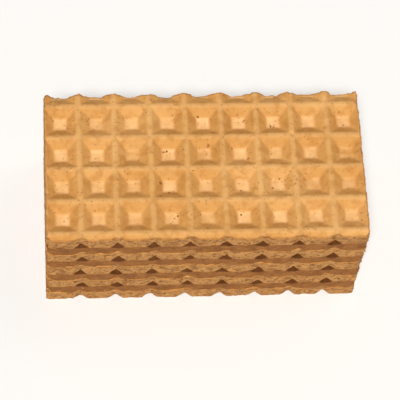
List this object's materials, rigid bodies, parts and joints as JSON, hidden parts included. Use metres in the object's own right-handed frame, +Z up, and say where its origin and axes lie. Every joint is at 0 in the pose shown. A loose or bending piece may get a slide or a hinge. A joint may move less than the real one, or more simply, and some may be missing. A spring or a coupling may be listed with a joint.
{
  "type": "cream wafer",
  "caption": "Bite-sized cream wafer: crisp sheets with a baked grid of square pits, stacked with thin layers of cocoa cream and sawn to a block.",
  "frame": {"origin": "middle of the footprint, on the surface that the wafer lies on", "axes": "+X along the wafer, +Y from its front cut to its back cut, +Z up through the layers"},
  "size_m": [0.045, 0.0234, 0.019],
  "materials": {
    "crisp_wafer": "dry, matt, finely porous baked wafer, golden brown",
    "cocoa_cream": "smooth, slightly waxy cocoa cream"
  },
  "bodies": {
    "root": {"sheet_1": "crisp_wafer", "sheet_2": "crisp_wafer", "sheet_3": "crisp_wafer", "sheet_4": "crisp_wafer", "sheet_5": "crisp_wafer", "cream_1": "cocoa_cream", "cream_2": "cocoa_cream", "cream_3": "cocoa_cream", "cream_4": "cocoa_cream"}
  },
  "joints": []
}
